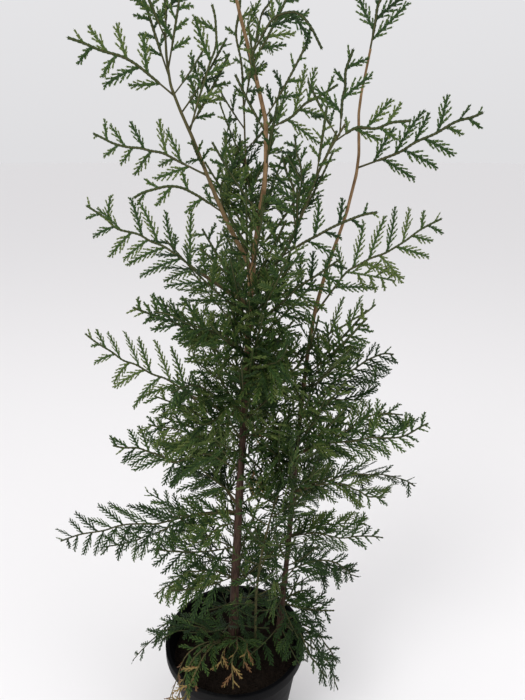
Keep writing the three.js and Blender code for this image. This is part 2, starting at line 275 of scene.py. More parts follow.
def limb_line(name, axis=None, cuts=40):
    """Middle points and radii of a CAD limb, cut across an axis that it runs along."""
    points, edges = mesh_arrays(name)
    axis = np.array(axis if axis is not None else (0, 0, 1), float)
    height = points @ axis
    low, high = height.min(), height.max()
    middles, radii = [], []
    for share in np.linspace(0.004, 0.996, cuts):
        ring = section(points, edges, axis * (low + (high - low) * share), axis)
        if len(ring) < 4:
            continue
        middle = (ring.max(0) + ring.min(0)) / 2
        spread = np.linalg.eigvalsh(np.cov((ring - middle).T))
        middles.append(middle)
        radii.append(math.sqrt(2 * max(spread[1], 1e-10)))
    return np.array(middles), np.array(radii)


class Pad:
    """A CAD pad of foliage: its spine, and its size and lie across it."""

    CUTS = 9

    def __init__(self, name, stem_line):
        self.name = name
        points, edges = mesh_arrays(name)
        bough = name + "_bough"
        # The root is where its bough leaves the stem. Without a bough, the foot is on the stem.
        self.root = self.foot = None
        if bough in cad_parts:
            wood, _ = mesh_arrays(bough)
            gaps = np.linalg.norm(wood[:, None] - stem_line[None], axis=2).min(1)
            self.start = wood[gaps > gaps.max() - 3 * MM].mean(0)
            self.root = wood[gaps < gaps.min() + 2 * MM].mean(0)
        else:
            gaps = np.linalg.norm(points[:, None] - stem_line[None], axis=2)
            close = gaps.min(0) < gaps.min() + 1.5 * MM
            near = stem_line[close]
            self.start = near[np.argmin(near[:, 2])]
            self.foot = self._below(stem_line, FOOT_DROP * np.ptp(points[:, 0]))
        reach = np.linalg.norm(points - self.start, axis=1)
        self.tip = points[np.argmax(reach)]
        self.length = float(reach.max())
        self.axis = (self.tip - self.start) / self.length
        self._cut(points, edges)

    def _below(self, stem_line, drop):
        """The stem's middle a little below the pad's start, where a rising axis leaves it."""
        height = max(self.start[2] - drop, stem_line[:, 2].min())
        return np.array([np.interp(height, stem_line[:, 2], stem_line[:, k]) for k in range(3)])

    def _cut(self, points, edges):
        """Rows of share, middle, wide direction, half width and half depth along the pad."""
        rows = []
        across = None
        for share in np.linspace(0.06, 0.96, self.CUTS):
            ring = section(points, edges, self.start + self.axis * self.length * share, self.axis)
            if len(ring) < 4:
                continue
            middle = (ring.max(0) + ring.min(0)) / 2
            offset = ring - middle
            offset -= np.outer(offset @ self.axis, self.axis)
            wide = np.linalg.eigh(offset.T @ offset)[1][:, 2]
            if across is not None and wide @ across < 0:
                wide = -wide
            if across is not None and abs(wide @ across) < 0.8:
                wide = across
            across = wide
            deep = np.cross(self.axis, wide)
            rows.append(
                (share, *middle, *wide, np.abs(offset @ wide).max(), np.abs(offset @ deep).max())
            )
        self.rows = np.array(rows)
        first, last = self.rows[0].copy(), self.rows[-1].copy()
        first[0], first[1:4] = 0, self.start
        last[0], last[1:4] = 1, self.tip
        last[7:9] *= 0.4
        self.rows = np.vstack([first, self.rows, last])
        self.half_wide = float(np.median(self.rows[1:-1, 7]))
        self.half_deep = float(np.median(self.rows[1:-1, 8]))
        self.bushy = self.half_deep > 0.42 * self.half_wide

    def at(self, share):
        """Spine point, wide direction, deep direction and half sizes at a share of the length."""
        row = [np.interp(share, self.rows[:, 0], self.rows[:, k]) for k in range(1, 9)]
        wide = Vector(row[3:6]).normalized()
        axis = Vector(self.axis)
        return Vector(row[:3]), wide, axis.cross(wide).normalized(), row[6], row[7]

    def holds(self, point, slack=1.08):
        """Whether a point lies inside the pad."""
        share = (point - Vector(self.start)).dot(Vector(self.axis)) / self.length
        if not 0 <= share <= 1.02:
            return False
        middle, wide, deep, half_wide, half_deep = self.at(share)
        offset = point - middle
        across = offset.dot(wide) / (half_wide + 1.5 * MM)
        through = offset.dot(deep) / (half_deep + 1.5 * MM)
        return across * across + through * through <= slack

    def room(self, start, direction, longest):
        """How far a shoot can run from a point before it leaves the pad."""
        reach = 0.0
        if self.root is not None and not self.holds(start):
            # On the bough, before the pad begins.
            return min(longest, BOUGH_SHOOT)
        step = 4 * MM
        while reach < longest and self.holds(start + direction * (reach + step)):
            reach += step
        return reach


# ---- meshes ----


class Soup:
    """Points and triangles gathered for one mesh, with a material number for each triangle."""

    def __init__(self):
        self.points, self.faces, self.slots, self.count = [], [], [], 0

    def add(self, points, faces, slot=0):
        self.points.append(np.asarray(points, float))
        self.faces.append(np.asarray(faces, int) + self.count)
        self.slots.append(np.broadcast_to(slot, len(faces)))
        self.count += len(points)

    def object(self, name, materials, smooth=False):
        points, faces = np.concatenate(self.points), np.concatenate(self.faces)
        mesh = bpy.data.meshes.new(name)
        mesh.vertices.add(len(points))
        mesh.vertices.foreach_set("co", points.ravel())
        mesh.loops.add(faces.size)
        mesh.loops.foreach_set("vertex_index", faces.ravel())
        mesh.polygons.add(len(faces))
        mesh.polygons.foreach_set("loop_start", np.arange(0, faces.size, 3))
        mesh.polygons.foreach_set("loop_total", np.full(len(faces), 3))
        mesh.polygons.foreach_set("material_index", np.concatenate(self.slots).astype(np.int32))
        mesh.polygons.foreach_set("use_smooth", np.full(len(faces), smooth))
        for item in materials:
            mesh.materials.append(item)
        mesh.update(calc_edges=True)
        mesh.validate()
        made = bpy.data.objects.new(name, mesh)
        bpy.context.scene.collection.objects.link(made)
        return made


def ring_faces(rings, sides):
    """Triangles of a closed tube of rings, with a middle point at either end (the last two points)."""
    faces = []
    first_end, last_end = rings * sides, rings * sides + 1
    for i in range(rings - 1):
        for j in range(sides):
            a, b = i * sides + j, i * sides + (j + 1) % sides
            c, d = a + sides, b + sides
            faces += [(a, b, d), (a, d, c)]
    for j in range(sides):
        k = (j + 1) % sides
        faces.append((first_end, k, j))
        faces.append((last_end, (rings - 1) * sides + j, (rings - 1) * sides + k))
    return faces


def tube(path, radii, sides, relief=None):
    """Points and triangles of a closed tube. relief(distance, angle) scales its radius."""
    path = np.asarray(path, float)
    along = np.gradient(path, axis=0)
    along /= np.linalg.norm(along, axis=1)[:, None]
    across = np.cross(along[0], (0.3, 1, 0.2))
    distance = np.concatenate([[0], np.cumsum(np.linalg.norm(np.diff(path, axis=0), axis=1))])
    points = []
    angles = np.arange(sides) * 2 * math.pi / sides
    for i, middle in enumerate(path):
        across = across - along[i] * (across @ along[i])
        across /= np.linalg.norm(across)
        other = np.cross(along[i], across)
        scale = relief(distance[i], angles) if relief else 1
        ring = np.outer(np.cos(angles), across) + np.outer(np.sin(angles), other)
        points.append(middle + ring * np.reshape(radii[i] * scale * np.ones(sides), (-1, 1)))
    points.append(path[[0, -1]])
    return np.concatenate(points), ring_faces(len(path), sides)


def smooth_path(points, spacing):
    """A path through points with even, small steps."""
    points = np.asarray(points, float)
    lengths = np.concatenate([[0], np.cumsum(np.linalg.norm(np.diff(points, axis=0), axis=1))])
    count = max(3, int(lengths[-1] / spacing) + 1)
    even = np.linspace(0, lengths[-1], count)
    path = np.stack([np.interp(even, lengths, points[:, k]) for k in range(3)], 1)
    for _ in range(3):
        path[1:-1] = (path[:-2] + 2 * path[1:-1] + path[2:]) / 4
    return path, even, lengths


# ---- scale leaves ----

# A pair of side scales in one outline, then the facing scale over it: across, along, out.
SIDE_PAIR = [(0.66, -0.12, 0), (1, 0.9, 0), (0, 0.72, 0), (-1, 0.9, 0), (-0.66, -0.12, 0)]
SIDE_RIDGE = [(0, 0.45, 0.62), (0, 0.45, -0.62)]
FACING = [(0.5, 0.42, 0), (0, 1.2, 0), (-0.5, 0.42, 0)]
FACING_RIDGE = [(0, 0.62, 1), (0, 0.62, -1)]
LEAF_POINTS = np.array(SIDE_PAIR + SIDE_RIDGE + FACING + FACING_RIDGE)


def cone_faces(first, count):
    """Triangles from a ring of points to the point in front of it and the point behind it."""
    front, back = first + count, first + count + 1
    ring = [(first + i, first + (i + 1) % count) for i in range(count)]
    return [(a, b, front) for a, b in ring] + [(b, a, back) for a, b in ring]


LEAF_FACES = np.array(cone_faces(0, len(SIDE_PAIR)) + cone_faces(7, len(FACING)))


def side_profile(share):
    """Length of a side shoot for where it leaves its axis, as a share of the longest."""
    return min(1.0, 0.55 + 2.2 * share) * (1 - 0.74 * share**1.7)


def squared(direction, axis):
    """The part of a direction that is square to an axis, made one long."""
    return (direction - axis * direction.dot(axis)).normalized()


class Growth:
    """The scale leaves and the twigs of one region of the crown, as they grow."""

    def __init__(self, width):
        self.places, self.sizes, self.tints = [], [], []
        self.twigs = Soup()
        self.chances = random.Random(0)
        self.width = width
        self.dry_from = DRY_FROM

    def leaf(self, point, forward, side, length, half_width, tint):
        """One pair of side scales with its facing scale."""
        normal = side.cross(forward)
        if tint >= YELLOW:
            half_width *= DRY_WIDTH
        thick = half_width * LEAF_HALF_THICKNESS / LEAF_HALF_WIDTH
        self.places.append((*point, *side, *forward, *normal))
        self.sizes.append((half_width * self.width, length, thick))
        self.tints.append(tint)

    def twig(self, path, thick):
        """The woody axis of a frond."""
        path = path[:-1:2] + path[-1:]
        radii = np.linspace(thick, TWIG_TIP, len(path))
        self.twigs.add(*tube(path, radii, TWIG_SIDES))

    def other_tint(self, tint, jump):
        """The same tint, or now and then its neighbour."""
        if tint >= YELLOW:
            return tint if self.chances.random() > 0.3 else self.chances.choice(DRY_TINTS)
        if self.chances.random() < jump:
            tint += self.chances.choice([-1, 1])
        return min(max(tint, SHADE), LIGHT)

    def along(self, tint, share, finger):
        """A shoot's tint for a place along it: one tint darker on axes and longer shoots, and a
        painted highlight, one tint lighter, at the tips of the fingers.
        """
        if tint >= YELLOW:
            return tint
        # Painted highlight: the outer part of each finger is one tint lighter.
        if share > 0.6 and finger:
            return min(tint + 1, LIGHT)
        return tint if finger else max(tint - 1, SHADE)

    def shoot(self, start, forward, side, length, tint, width=1.0, curl=0.0):
        """A flat shoot of scale leaves that branches, while it is long enough, in its own plane."""
        chances = self.chances
        steps = max(2, round(length / LEAF_STEP))
        step = length / steps
        turn = curl / steps
        sag = chances.uniform(0.0, 0.14) * step / (20 * MM)
        finger = length < FINGER_LENGTH
        spray = length > SPRAY_LENGTH
        gap = SPRAY_GAP if spray else FINGER_GAP * self.width
        longest = 0.44 * length if spray else min(LONGEST_FINGER, 0.38 * length)
        hand = chances.choice([-1, 1])
        next_side = gap * chances.uniform(0.8, 1.3)
        point = start.copy()
        for i in range(steps):
            share = (i + 1) / steps
            forward = (forward + side * turn - UP * sag).normalized()
            side = squared(side, forward)
            half_width = LEAF_HALF_WIDTH * width * (1.1 - 0.2 * share)
            if i == steps - 1:
                half_width *= END_WIDTH
            self.leaf(point, forward, side, step, half_width, self.along(tint, share, finger))
            while not finger and next_side <= (i + 1) * step and next_side < length - 2 * MM:
                place = next_side / length
                foot = point + forward * (next_side - i * step)
                next_side += gap
                hand = -hand
                child = longest * side_profile(place) * chances.uniform(0.85, 1.12)
                if child < SHORTEST_FINGER:
                    continue
                angle = (SPRIG_ANGLE if spray else FINGER_ANGLE) * chances.uniform(0.86, 1.08)
                heading = forward * math.cos(angle) + side * hand * math.sin(angle)
                heading = (heading + side.cross(forward) * chances.gauss(0, 0.05)).normalized()
                child_side = forward * math.sin(angle) - side * hand * math.cos(angle)
                own = self.other_tint(tint, 0.12 if spray else 0)
                bend = 0.3 if child < FINGER_LENGTH else chances.uniform(-0.3, 0.3)
                self.shoot(foot, heading, squared(child_side, heading), child, own, 1.0, bend)
            point = point + forward * step

    def frond(self, path, face, longest, tint, gap, lean=0.1, bare=0.2, room=None):
        """A woody axis with side shoots on alternate hands, in the plane that faces a direction."""
        chances = self.chances
        steps = len(path) - 1
        total = steps * AXIS_STEP
        self.twig(path, TWIG_TIP + total * TWIG_THICKENING)
        hand = chances.choice([-1, 1])
        next_side = max(gap, bare * total * 0.6) * chances.uniform(0.9, 1.2)
        run = 0.0
        for i in range(1, steps + 1):
            share = i / steps
            step = path[i] - path[i - 1]
            forward = step.normalized()
            side = face.cross(forward)
            side = side.normalized() if side.length > 0.2 else squared(UP, forward)
            run += step.length
            if share > bare:
                width = LEAF_HALF_WIDTH * (1.06 - 0.1 * share)
                own = self.along(tint, share, False)
                self.leaf(path[i - 1], forward, side, step.length * 1.15, width, own)
            while run >= next_side and share < 0.985:
                next_side += gap * chances.uniform(0.8, 1.2)
                hand = -hand
                tilt = chances.gauss(0, lean)
                out = side * hand * math.cos(tilt) + side.cross(forward) * math.sin(tilt)
                angle = SPRIG_ANGLE * chances.uniform(0.8, 1.12)
                heading = (forward * math.cos(angle) + out * math.sin(angle)).normalized()
                length = longest * side_profile(share) * chances.uniform(0.85, 1.1)
                if room:
                    length = min(length, room(path[i], heading, length) + 3 * MM)
                if length < SHORTEST_SPRIG:
                    continue
                child_side = squared(forward * math.sin(angle) - out * math.cos(angle), heading)
                child_side = Quaternion(heading, chances.gauss(0, 0.12)) @ child_side
                own = self.other_tint(tint, 0.4)
                if tint >= YELLOW and share < self.dry_from:
                    own = GREEN
                bend = chances.uniform(-0.35, 0.3)
                self.shoot(path[i], heading, child_side, length, own, 1.05, bend)

    def leaves(self):
        """All the scale leaves as one soup of triangles."""
        places = np.array(self.places).reshape(-1, 4, 3)
        sized = LEAF_POINTS[None] * np.array(self.sizes)[:, None]
        points = places[:, :1] + np.einsum("nki,nij->nkj", sized, places[:, 1:])
        faces = LEAF_FACES[None] + (np.arange(len(places)) * len(LEAF_POINTS))[:, None, None]
        made = Soup()
        tints = np.repeat(np.array(self.tints), len(LEAF_FACES))
        made.add(points.reshape(-1, 3), faces.reshape(-1, 3), tints)
        return made


# ---- filling the pads ----


def facing(pad, chances):
    """The way a frond in a pad faces: outwards in front and behind, and across the pad elsewhere."""
    axis = Vector(pad.axis)
    outward = Vector((axis.x, axis.y, 0))
    if abs(axis.y) > 0.6 and outward.length > 0.5:
        face = outward.normalized()
        noise_size = 0.35
    else:
        face = Vector(np.cross(pad.rows[2, 4:7], pad.axis))
        noise_size = 0.1 if not pad.bushy else 0.3
    jitter = Vector([chances.gauss(0, noise_size) for _ in range(3)])
    return (face + jitter).normalized()


def pad_path(pad, across, through, reach, chances):
    """A frond's axis from the pad's start, that spreads out to its own place across the pad."""
    points = [Vector(pad.start if pad.foot is None else pad.foot)]
    if pad.root is not None:
        points.insert(0, Vector(pad.root))
    sway = min(0.1 * pad.half_wide, 3 * MM)
    for share in np.linspace(FIRST_PLACE, reach, 9):
        middle, wide, deep, half_wide, half_deep = pad.at(share)
        ease = min(1.0, share / 0.6)
        ease = ease * ease * (3 - 2 * ease)
        aside = across * half_wide * ease + chances.uniform(-1, 1) * sway
        back = through * half_deep * ease + chances.uniform(-0.1, 0.1) * half_deep
        points.append(middle + wide * aside + deep * back)
    return [Vector(p) for p in smooth_path(points, AXIS_STEP)[0]]


def frond_count(pad, young):
    """How many fronds a pad holds."""
    if pad.bushy and pad.name in THIN_PADS:
        return 1
    if pad.bushy and pad.name in AIRY_PADS:
        return 2
    if pad.bushy:
        return min(max(round(pad.half_wide * pad.half_deep / FROND_AREA), 2), MOST_FRONDS)
    if pad.name.startswith("rim"):
        return RIM_FRONDS
    return 1 if pad.length < LONG_PAD or young or pad.name in SINGLE_PADS else 2


def node_gap(pad, young):
    """From one side shoot of a pad's fronds to the next."""
    if pad.name in THIN_PADS:
        return THIN_NODE_GAP
    if pad.bushy:
        return BUSHY_NODE_GAP
    return YOUNG_NODE_GAP if young else FLAT_NODE_GAP


def fill_pad(pad, growth, tints, young):
    """Grows the foliage of one pad. Young fronds, near the top, are more open."""
    chances = growth.chances = random.Random(pad.name)
    count = frond_count(pad, young)
    gap = node_gap(pad, young)
    lower = -0.5 if pad.rows[2, 6] > 0 else 0.5
    turn = chances.uniform(0, 2 * math.pi)
    for k in range(count):
        if pad.bushy:
            spread = BUSHY_SPREAD * math.sqrt((k + 0.5) / count)
            across = spread * math.cos(turn + k * GOLDEN_ANGLE)
            through = spread * math.sin(turn + k * GOLDEN_ANGLE)
        else:
            across = 0.0 if k == 0 else (lower if k % 2 else -lower)
            through = chances.uniform(-0.3, 0.3)
        reach = LONGEST_REACH if k == 0 else chances.uniform(0.65, 0.85)
        path = pad_path(pad, across, through, reach, chances)
        longest = min(LONGEST_SIDE_SHOOT, 0.5 * pad.length + 6 * MM)
        lean = 0.3 if pad.bushy else 0.08 + 0.35 * pad.half_deep / pad.half_wide
        tint = chances.choice(tints)
        growth.frond(path, facing(pad, chances), longest, tint, gap, lean, 0.2, pad.room)


def in_pot(point):
    """Whether a point is in the pot's wall, or down in the compost."""
    reach = math.hypot(point.x, point.y)
    if abs(reach - POT_WALL) < WALL_ROOM:
        return point.z < POT_HEIGHT + 1 * MM
    return reach < POT_WALL and point.z < COMPOST_TOP + 1 * MM


def clear_of_pot(start, direction, longest):
    """How far a shoot can run from a point before it meets the pot."""
    reach = 0.0
    step = 4 * MM
    while reach < longest and not in_pot(start + direction * (reach + step)):
        reach += step
    return max(reach - 3 * MM, 0.0)


def grow_inner_fronds(
    line, growth, tints, stem, start, end, gap, length, rise, front_from=0, toward=None, dry=False
):
    """Short fronds all round a stem, or between two of its sides, among the larger ones."""
    chances = growth.chances = random.Random(f"{stem} {start}")
    if dry:
        tints, growth.dry_from = DRY_TINTS, 0.0
    height = start
    turn = chances.uniform(0, 2 * math.pi)
    while height < end:
        height += gap * chances.uniform(0.7, 1.3)
        turn += GOLDEN_ANGLE
        if toward:
            turn = math.radians(chances.uniform(*toward))
        foot = Vector([np.interp(height * MM, line[:, 2], line[:, k]) for k in range(3)])
        out = Vector((math.cos(turn), math.sin(turn), 0))
        if height < front_from and out.y < -0.45:
            continue
        reach = 0.8 * length * MM * chances.uniform(0.65, 1.1)
        climb = chances.uniform(*rise)
        points = []
        for share in np.linspace(0, 1, 8):
            points.append(foot + (out * share + UP * (climb * share + 0.25 * share**2)) * reach)
        path = [Vector(p) for p in smooth_path(points, AXIS_STEP)[0]]
        met = [i for i, point in enumerate(path) if i > 3 and in_pot(point)]
        if met:
            path = path[: max(met[0] - 1, 4)]
        front = -1 if out.y < 0 else 1
        face = Vector((chances.gauss(0, 0.5), front, chances.gauss(0, 0.3))).normalized()
        if rise[0] < 0:
            face = (face + UP * 1.5).normalized()
        tint = chances.choice(tints)
        growth.frond(path, face, 0.6 * reach, tint, FLAT_NODE_GAP, 0.2, 0.25, clear_of_pot)


# ---- bark, pot and compost ----


COLOUR_CHANGE = 0.16  # the height over which a stem's bark changes colour
BARK_ENDS = (0.32, 0.68)  # where the fibres' noise gives the dark colour and the light one
OLD_BROWNS = ((0.014, 0.008, 0.006), (0.085, 0.048, 0.034))  # dark, light
TAN_BARK = ((0.090, 0.050, 0.022), (0.27, 0.17, 0.085))
GREEN_BARK = ((0.026, 0.032, 0.012), (0.090, 0.080, 0.032))
BOUGH_BROWNS = ((0.030, 0.026, 0.012), (0.105, 0.075, 0.034))
POT_BLACKS = ((0.0018, 0.0019, 0.0024), (0.013, 0.0127, 0.0125))
PEAT_BROWNS = ((0.004, 0.003, 0.002), (0.020, 0.013, 0.009))


def object_place(material):
    """The object's own coordinates, for a material's noise."""
    return add_node(material, "TexCoord", "Object")


def noise_at(material, place, scale, detail, roughness=0.5):
    """A noise's value at a place."""
    inputs = {"Vector": place, "Scale": scale, "Detail": detail, "Roughness": roughness}
    return add_node(material, "TexNoise", "Fac", inputs)


def colour_ramp(material, factor, ends, colours):
    """Two colours, and what lies between them, as a factor runs from one end to the other."""
    output = add_node(material, "ValToRGB", "Color", {"Fac": factor})
    for element, position, colour in zip(output.node.color_ramp.elements, ends, colours):
        element.position = position
        element.color = (*colour, 1)
    return output


def dress(material, shader, colour, height, strength, distance):
    """A shader's colour, and the fine relief that a height gives it."""
    inputs = {"Height": height, "Strength": strength, "Distance": distance}
    set_input(material, shader.inputs["Base Color"], colour)
    set_input(material, shader.inputs["Normal"], add_node(material, "Bump", "Normal", inputs))


def change_with_height(material, lower, upper, start):
    """A colour that turns from a lower one to an upper one, from a start upwards."""
    height = add_node(material, "SeparateXYZ", "Z", {"Vector": object_place(material)})
    ends = {"Value": height, "From Min": start, "From Max": start + COLOUR_CHANGE}
    share = add_node(material, "MapRange", "Result", ends)
    # The node has inputs of one name for each kind of data: numbers 6 and 7 are its two colours.
    inputs = {"Factor": share, 6: lower, 7: upper}
    return add_node(material, "Mix", 2, inputs, data_type="RGBA", blend_type="MIX")


def bark_material(name, colours, scale, young=None, young_from=0.0):
    """Thin bark: long fibres of two colours, with relief. Young is its two colours higher up."""
    material, shader = start_material(name, 0.82, 0.2)
    place = object_place(material)
    stretch = {"Vector": place, "Scale": (scale, scale, scale * 0.12)}
    fibres = noise_at(material, add_node(material, "Mapping", "Vector", stretch), 5.0, 6.0, 0.65)
    blotch = noise_at(material, place, 60.0, 3.0)
    both = add_node(material, "Math", 0, {0: blotch, 1: 0.35, 2: fibres}, operation="MULTIPLY_ADD")
    streaks = add_node(material, "Math", 0, {0: both, 1: 0.17}, operation="SUBTRACT")
    colour = colour_ramp(material, streaks, BARK_ENDS, colours)
    if young:
        fresh = colour_ramp(material, streaks, BARK_ENDS, young)
        colour = change_with_height(material, colour, fresh, young_from)
    dress(material, shader, colour, fibres, 0.5, 0.3 * MM)
    return material


def pot_material():
    """Dull black moulded plastic with pale scuffs and a little dust."""
    material, shader = start_material("pot_plastic", 0.5, 0.05)
    place = object_place(material)
    stretched = add_node(material, "Mapping", "Vector", {"Vector": place, "Scale": (1, 1, 9)})
    scuff = noise_at(material, stretched, 38.0, 8.0, 0.7)
    cloud = noise_at(material, place, 14.0, 4.0)
    both = add_node(material, "Math", 0, {0: scuff, 1: cloud}, operation="MULTIPLY")
    polish = {"Value": scuff, "To Min": 0.34, "To Max": 0.72}
    rough = add_node(material, "MapRange", "Result", polish)
    set_input(material, shader.inputs["Roughness"], rough)
    colour = colour_ramp(material, both, (0.24, 0.46), POT_BLACKS)
    dress(material, shader, colour, scuff, 0.15, 0.2 * MM)
    return material


def compost_material():
    """Dark, damp peat with paler specks."""
    material, shader = start_material("compost", 0.95, 0.1)
    grain = noise_at(material, object_place(material), 420.0, 5.0, 0.7)
    colour = colour_ramp(material, grain, (0.3, 0.75), PEAT_BROWNS)
    dress(material, shader, colour, grain, 0.7, 0.8 * MM)
    return material


OLD_BARK = bark_material("old_bark", OLD_BROWNS, 150.0, TAN_BARK, 0.42)
LEADER_BARK = bark_material("leader_bark", TAN_BARK, 220.0, GREEN_BARK, 0.58)
BOUGH_BARK = bark_material("bough_bark", BOUGH_BROWNS, 200.0)
TWIG_BARK = bark_material("twig_bark", GREEN_BARK, 220.0)
STEM_BARK = {  # the bark of the stems that have not the leaders' own
    "main_stem": OLD_BARK,
    "right_stem": OLD_BARK,
    "slender_stem": TWIG_BARK,
    "centre_leader": TWIG_BARK,
}

RIDGES = (2, 3, 5, 7)  # waves of the bark's relief, counted round the limb
SWELLING_GAP = 31 * MM  # from one swelling on a limb to the next
SWELLING_LENGTH = 2.5 * MM
SWELLING = 0.06  # of the radius


def bark_relief(seed, depth):
    """Long ridges that wander slowly round the limb, and the swellings at its nodes."""
    chances = random.Random(seed)
    waves = []
    for count in RIDGES:
        phase, drift, start = chances.uniform(0, 6), chances.uniform(8, 30), chances.uniform(0, 6)
        waves.append((count, phase, drift, start))

    def relief(distance, angles):
        total = np.zeros(len(angles))
        for count, phase, drift, start in waves:
            wander = 1.3 * math.sin(drift * distance * 3 + start)
            total += np.cos(count * angles + phase + wander) / count
        from_node = (distance % SWELLING_GAP) - SWELLING_GAP / 2
        node = math.exp(-((from_node / SWELLING_LENGTH) ** 2))
        return 1 + depth * total + SWELLING * node

    return relief


def make_stem(name, line, radii, parent_line=None):
    """A stem or bough with its bark's relief, rooted in what it grows from."""
    points, sizes = line, radii
    if parent_line is not None:
        root = parent_line[np.argmin(np.linalg.norm(parent_line - line[0], axis=1))]
        points = np.vstack([root, line])
        sizes = np.concatenate([[radii[0]], radii])
    sides, depth = (18, 0.11) if name in OLD_STEMS else (10, 0.05)
    path, even, lengths = smooth_path(points, 1.6 * MM)
    made = Soup()
    made.add(*tube(path, np.interp(even, lengths, sizes), sides, bark_relief(name, depth)))
    return made


def lathe(outline, around):
    """Points and triangles turned round Z from a closed outline that starts and ends on the axis."""
    outline = np.array(outline)
    angles = np.arange(around) * 2 * math.pi / around
    points = [(0, 0, outline[0][1])]
    inner = outline[1:-1]
    for angle in angles:
        points += [(r * math.cos(angle), r * math.sin(angle), z) for r, z in inner]
    points.append((0, 0, outline[-1][1]))
    rows, last, faces = len(inner), len(points) - 1, []
    for i in range(around):
        a, b = 1 + i * rows, 1 + ((i + 1) % around) * rows
        faces.append((0, b, a))
        faces.append((last, a + rows - 1, b + rows - 1))
        for j in range(rows - 1):
            faces += [(a + j, b + j, b + j + 1), (a + j, b + j + 1, a + j + 1)]
    return np.array(points), faces


def arc(middle, radius, start, end, steps=6):
    """Points of an arc in an outline, with its angles in degrees."""
    turned = [math.radians(start + (end - start) * i / steps) for i in range(steps + 1)]
    return [(middle[0] + radius * math.cos(t), middle[1] + radius * math.sin(t)) for t in turned]


def make_pot():
    """The nursery pot: tapering wall, stacking step, turned-over lip and drainage holes."""
    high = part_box("pot")[1]
    rim, height = high.x, high.z
    points, _ = mesh_arrays("pot")
    foot = np.hypot(points[:, 0], points[:, 1])[points[:, 2] < 2 * MM].max()
    wall, band, lip, edge = 1.8 * MM, 13 * MM, 3 * MM, 1 * MM
    top = rim - lip

    def outer(z):
        return foot + (top - foot) * z / height

    step = height - band
    outline = [(0, 1.2 * MM), (foot - 12 * MM, 1.2 * MM), (foot - 10 * MM, 0.0)]
    outline += arc((foot - 2 * MM, 2 * MM), 2 * MM, -90, 0)
    outline += [(outer(step * 0.5), step * 0.5), (outer(step) - 0.2 * MM, step)]
    outline += arc((rim - edge, step + edge), edge, -90, 0)
    outline += arc((rim - edge, height - edge), edge, 0, 90)
    outline += arc((top - wall + edge, height - edge), edge, 90, 180)
    outline += [(outer(step) - wall, step + 1 * MM), (outer(step) - wall - 1.6 * MM, step - 1.5 * MM)]
    outline += [(outer(4 * MM) - wall, 4 * MM), (foot - 6 * MM, 3 * MM), (0, 3 * MM)]
    made = Soup()
    made.add(*lathe(outline, 144))
    pot = made.object("pot_shell", [pot_material()], smooth=True)
    cut_drain_holes(pot, foot)
    smooth_by_angle(pot, 35)
    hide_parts("pot")
    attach(pot, "root")


DRAIN_HOLES = 6
DRAIN_RADIUS = 5.5 * MM
DRAIN_PLACE = 0.72  # of the underside's radius


def cut_drain_holes(pot, foot):
    """Round holes through the pot's floor."""
    holes = Soup()
    for i in range(DRAIN_HOLES):
        angle = (i + 0.5) / DRAIN_HOLES * 2 * math.pi
        at = np.array([math.cos(angle), math.sin(angle), 0]) * DRAIN_PLACE * foot
        path = [at + (0, 0, -5 * MM), at, at + (0, 0, 8 * MM)]
        holes.add(*tube(path, [DRAIN_RADIUS] * 3, 24))
    cutter = holes.object("drain_holes", [])
    boolean = pot.modifiers.new("holes", "BOOLEAN")
    boolean.object = cutter
    boolean.solver = "EXACT"
    apply_modifiers(pot)
    bpy.data.objects.remove(cutter)


def apply_modifiers(piece):
    """Replaces a piece's mesh by what its modifiers make of it."""
    graph = bpy.context.evaluated_depsgraph_get()
    mesh = bpy.data.meshes.new_from_object(piece.evaluated_get(graph))
    piece.modifiers.clear()
    piece.data = mesh


def smooth_by_angle(piece, degrees):
    """Rounds a piece's shading except over its sharp edges."""
    piece.data.shade_smooth()
    piece.data.set_sharp_from_angle(angle=math.radians(degrees))


def make_compost():
    """The compost's crumbly surface, with loose crumbs on it."""
    low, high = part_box("compost")
    radius, top = high.x, high.z
    around, rings = 120, 34
    cad, _ = mesh_arrays("compost")
    foot = np.hypot(cad[:, 0], cad[:, 1])[cad[:, 2] < low.z + 2 * MM].max() - 0.5 * MM
    made = Soup()
    points = [(0, 0, top)]
    for i in range(1, rings + 1):
        r = radius * i / rings
        for j in range(around):
            angle = j * 2 * math.pi / around
            x, y = r * math.cos(angle), r * math.sin(angle)
            bump = noise.fractal(Vector((x, y, 0.0)) * 90, 0.8, 2.1, 5)
            points.append((x, y, top - 1.2 * MM + 1.6 * MM * bump - 3 * MM * (i / rings) ** 6))
    bottom = len(points)
    for j in range(around):
        angle = j * 2 * math.pi / around
        points.append((foot * math.cos(angle), foot * math.sin(angle), low.z + 1 * MM))
    points.append((0, 0, low.z + 1 * MM))
    faces = []
    for j in range(around):
        k = (j + 1) % around
        faces.append((0, 1 + j, 1 + k))
        for i in range(rings - 1):
            a, b = 1 + i * around + j, 1 + i * around + k
            faces += [(a, a + around, b + around), (a, b + around, b)]
        a, b = 1 + (rings - 1) * around + j, 1 + (rings - 1) * around + k
        faces += [(a, bottom + j, bottom + k), (a, bottom + k, b)]
        faces.append((bottom + j, len(points) - 1, bottom + k))
    made.add(points, faces)
    add_crumbs(made, radius, top)
    compost = made.object("compost_fill", [compost_material()])
    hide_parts("compost")
    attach(compost, "root")


CRUMBS = 1500


